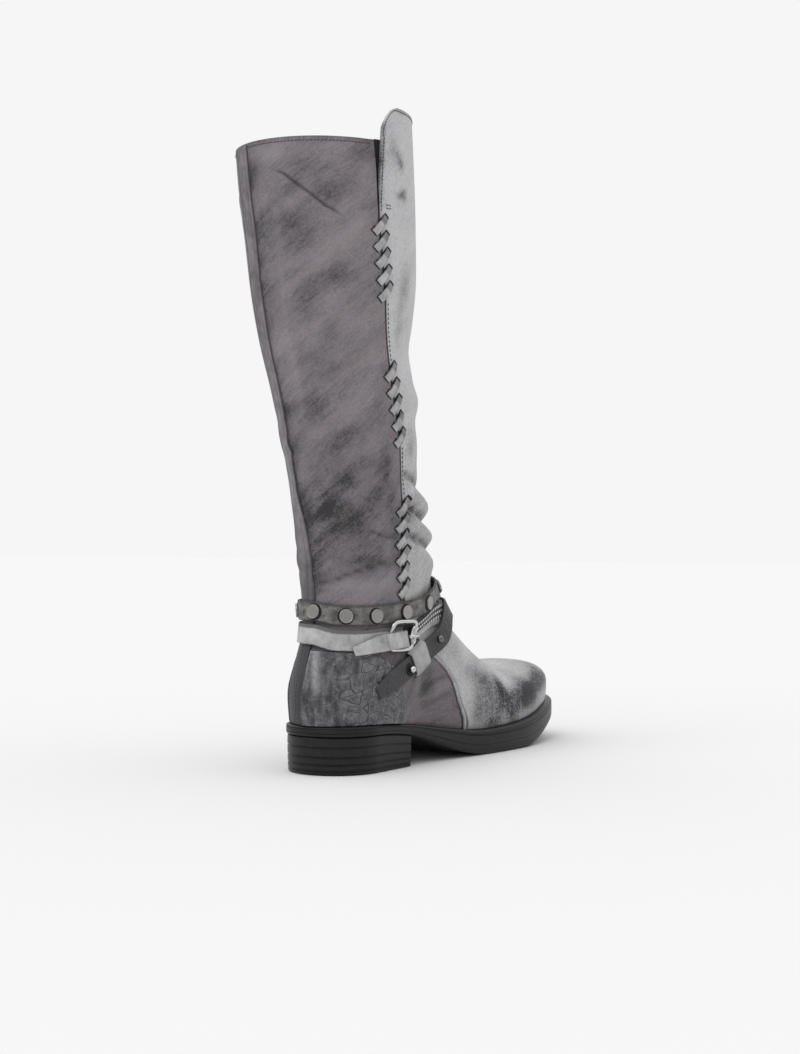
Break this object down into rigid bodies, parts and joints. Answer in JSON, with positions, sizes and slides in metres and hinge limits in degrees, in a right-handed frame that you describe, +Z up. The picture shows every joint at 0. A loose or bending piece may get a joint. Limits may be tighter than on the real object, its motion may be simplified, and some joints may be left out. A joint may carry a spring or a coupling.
{
  "type": "tall strap boot",
  "caption": "Tall slouchy pull-on boot with a low block heel, whip-laced front panel, croc-embossed heel counter and studded and buckled ankle straps; open at the collar.",
  "frame": {"origin": "on the floor under the middle of the heel", "axes": "+X towards the toe, +Y towards the inner side of the foot, +Z up along the shaft"},
  "size_m": [0.3, 0.1179, 0.408],
  "materials": {
    "upper": "brushed, distressed, satin",
    "trim": "brushed, satin",
    "counter": "crocodile embossed, satin",
    "stud_strap": "embossed, matte",
    "pale_strap": "smooth, satin",
    "dark_strap": "pebbled, satin",
    "mesh": "woven metallic thread",
    "gore": "ribbed elastic, matte",
    "insole": "matte",
    "sole": "satin",
    "heel": "grooved, satin",
    "stud": "aged, satin",
    "buckle": "polished"
  },
  "bodies": {
    "root": {"upper": "upper", "outsole": "sole", "heel": "heel", "insole": "insole", "gore": "gore", "back_strip": "trim", "vamp_seam": "trim", "lace_top": "trim", "lace_middle": "trim", "lace_bottom": "trim", "counter_outer": "counter", "counter_inner": "counter", "stud_strap": "stud_strap", "buckle_strap": "pale_strap", "strap_end": "pale_strap", "cross_loop": "pale_strap", "cross_strap": "dark_strap", "mesh_strip": "mesh", "buckle_frame": "buckle", "buckle_prong": "buckle", "rivet": "buckle", "ball_stud": "buckle", "stud_01": "stud", "stud_02": "stud", "stud_03": "stud", "stud_04": "stud", "stud_05": "stud", "stud_06": "stud", "stud_07": "stud", "stud_08": "stud", "stud_09": "stud", "stud_10": "stud", "stud_11": "stud"}
  },
  "joints": []
}
